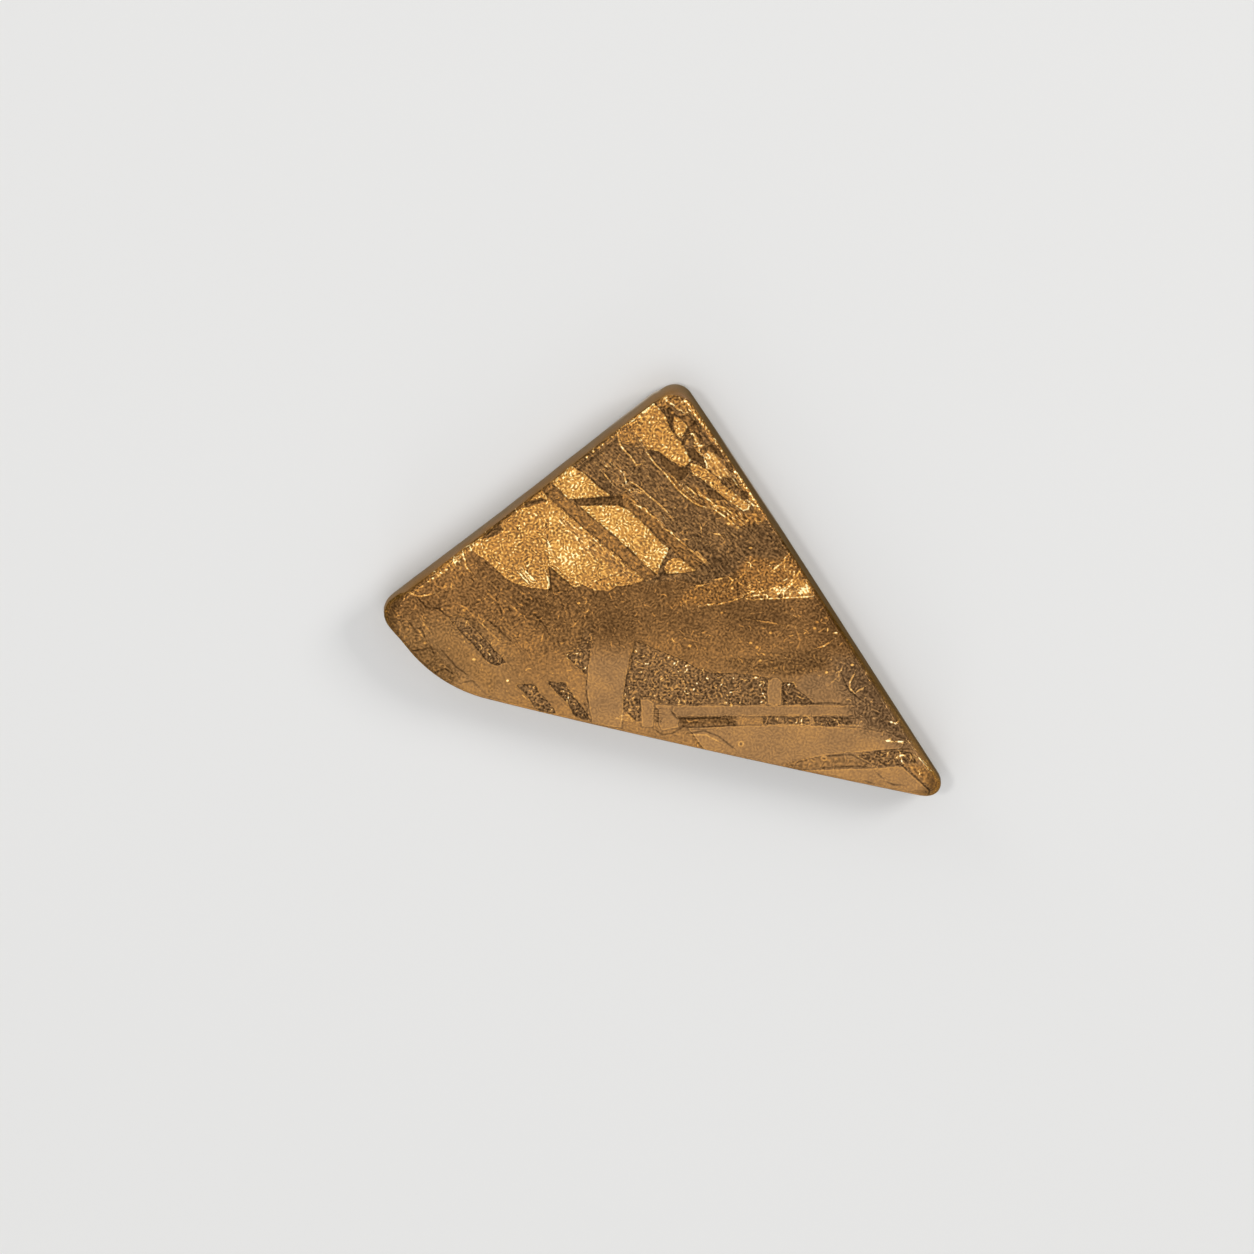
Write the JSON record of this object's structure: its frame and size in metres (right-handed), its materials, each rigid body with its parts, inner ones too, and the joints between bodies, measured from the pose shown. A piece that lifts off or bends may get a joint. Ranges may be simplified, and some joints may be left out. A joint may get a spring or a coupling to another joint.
{
  "type": "iron meteorite slice",
  "caption": "Thin triangular slice of an iron meteorite with rounded corners and ground edges, its upper face etched to show crossing crystal bands.",
  "frame": {"origin": "on the back face, under the middle of the slice's own box", "axes": "+X along the slice's longest side of the box, +Y across it, +Z out of the etched face"},
  "size_m": [0.0348, 0.0266, 0.0027],
  "materials": {
    "etched_iron": "acid-etched nickel-iron with crossing smooth and speckled bands, golden brown, satin, with smooth ground edges"
  },
  "bodies": {
    "root": {"meteorite_slice": "etched_iron"}
  },
  "joints": []
}
